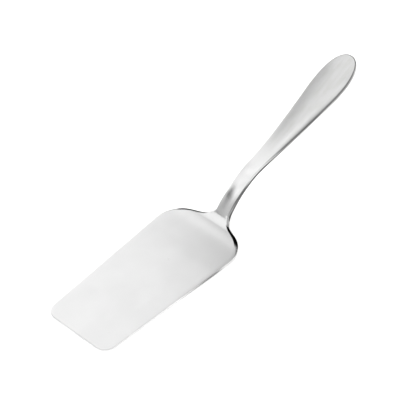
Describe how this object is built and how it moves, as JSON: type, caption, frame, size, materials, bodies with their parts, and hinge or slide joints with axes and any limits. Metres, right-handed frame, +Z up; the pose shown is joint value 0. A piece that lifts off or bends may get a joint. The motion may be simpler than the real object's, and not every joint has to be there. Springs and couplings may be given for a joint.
{
  "type": "cake lifter",
  "caption": "Cake lifter: flat flared steel blade with rounded shoulders, a cranked neck and a teardrop handle that rises clear of the table.",
  "frame": {"origin": "on the resting plane, under the middle of the whole length and width", "axes": "+X from the blade's tip towards the handle's end, +Z up out of the blade's top face, XZ the plane of symmetry"},
  "size_m": [0.2544, 0.0598, 0.0557],
  "materials": {
    "blade": "fine polish with faint lengthwise grain",
    "neck_weld": "ground flush and polished over",
    "handle": "satin"
  },
  "bodies": {
    "root": {"blade": "blade", "neck_weld": "neck_weld", "handle": "handle"}
  },
  "joints": []
}
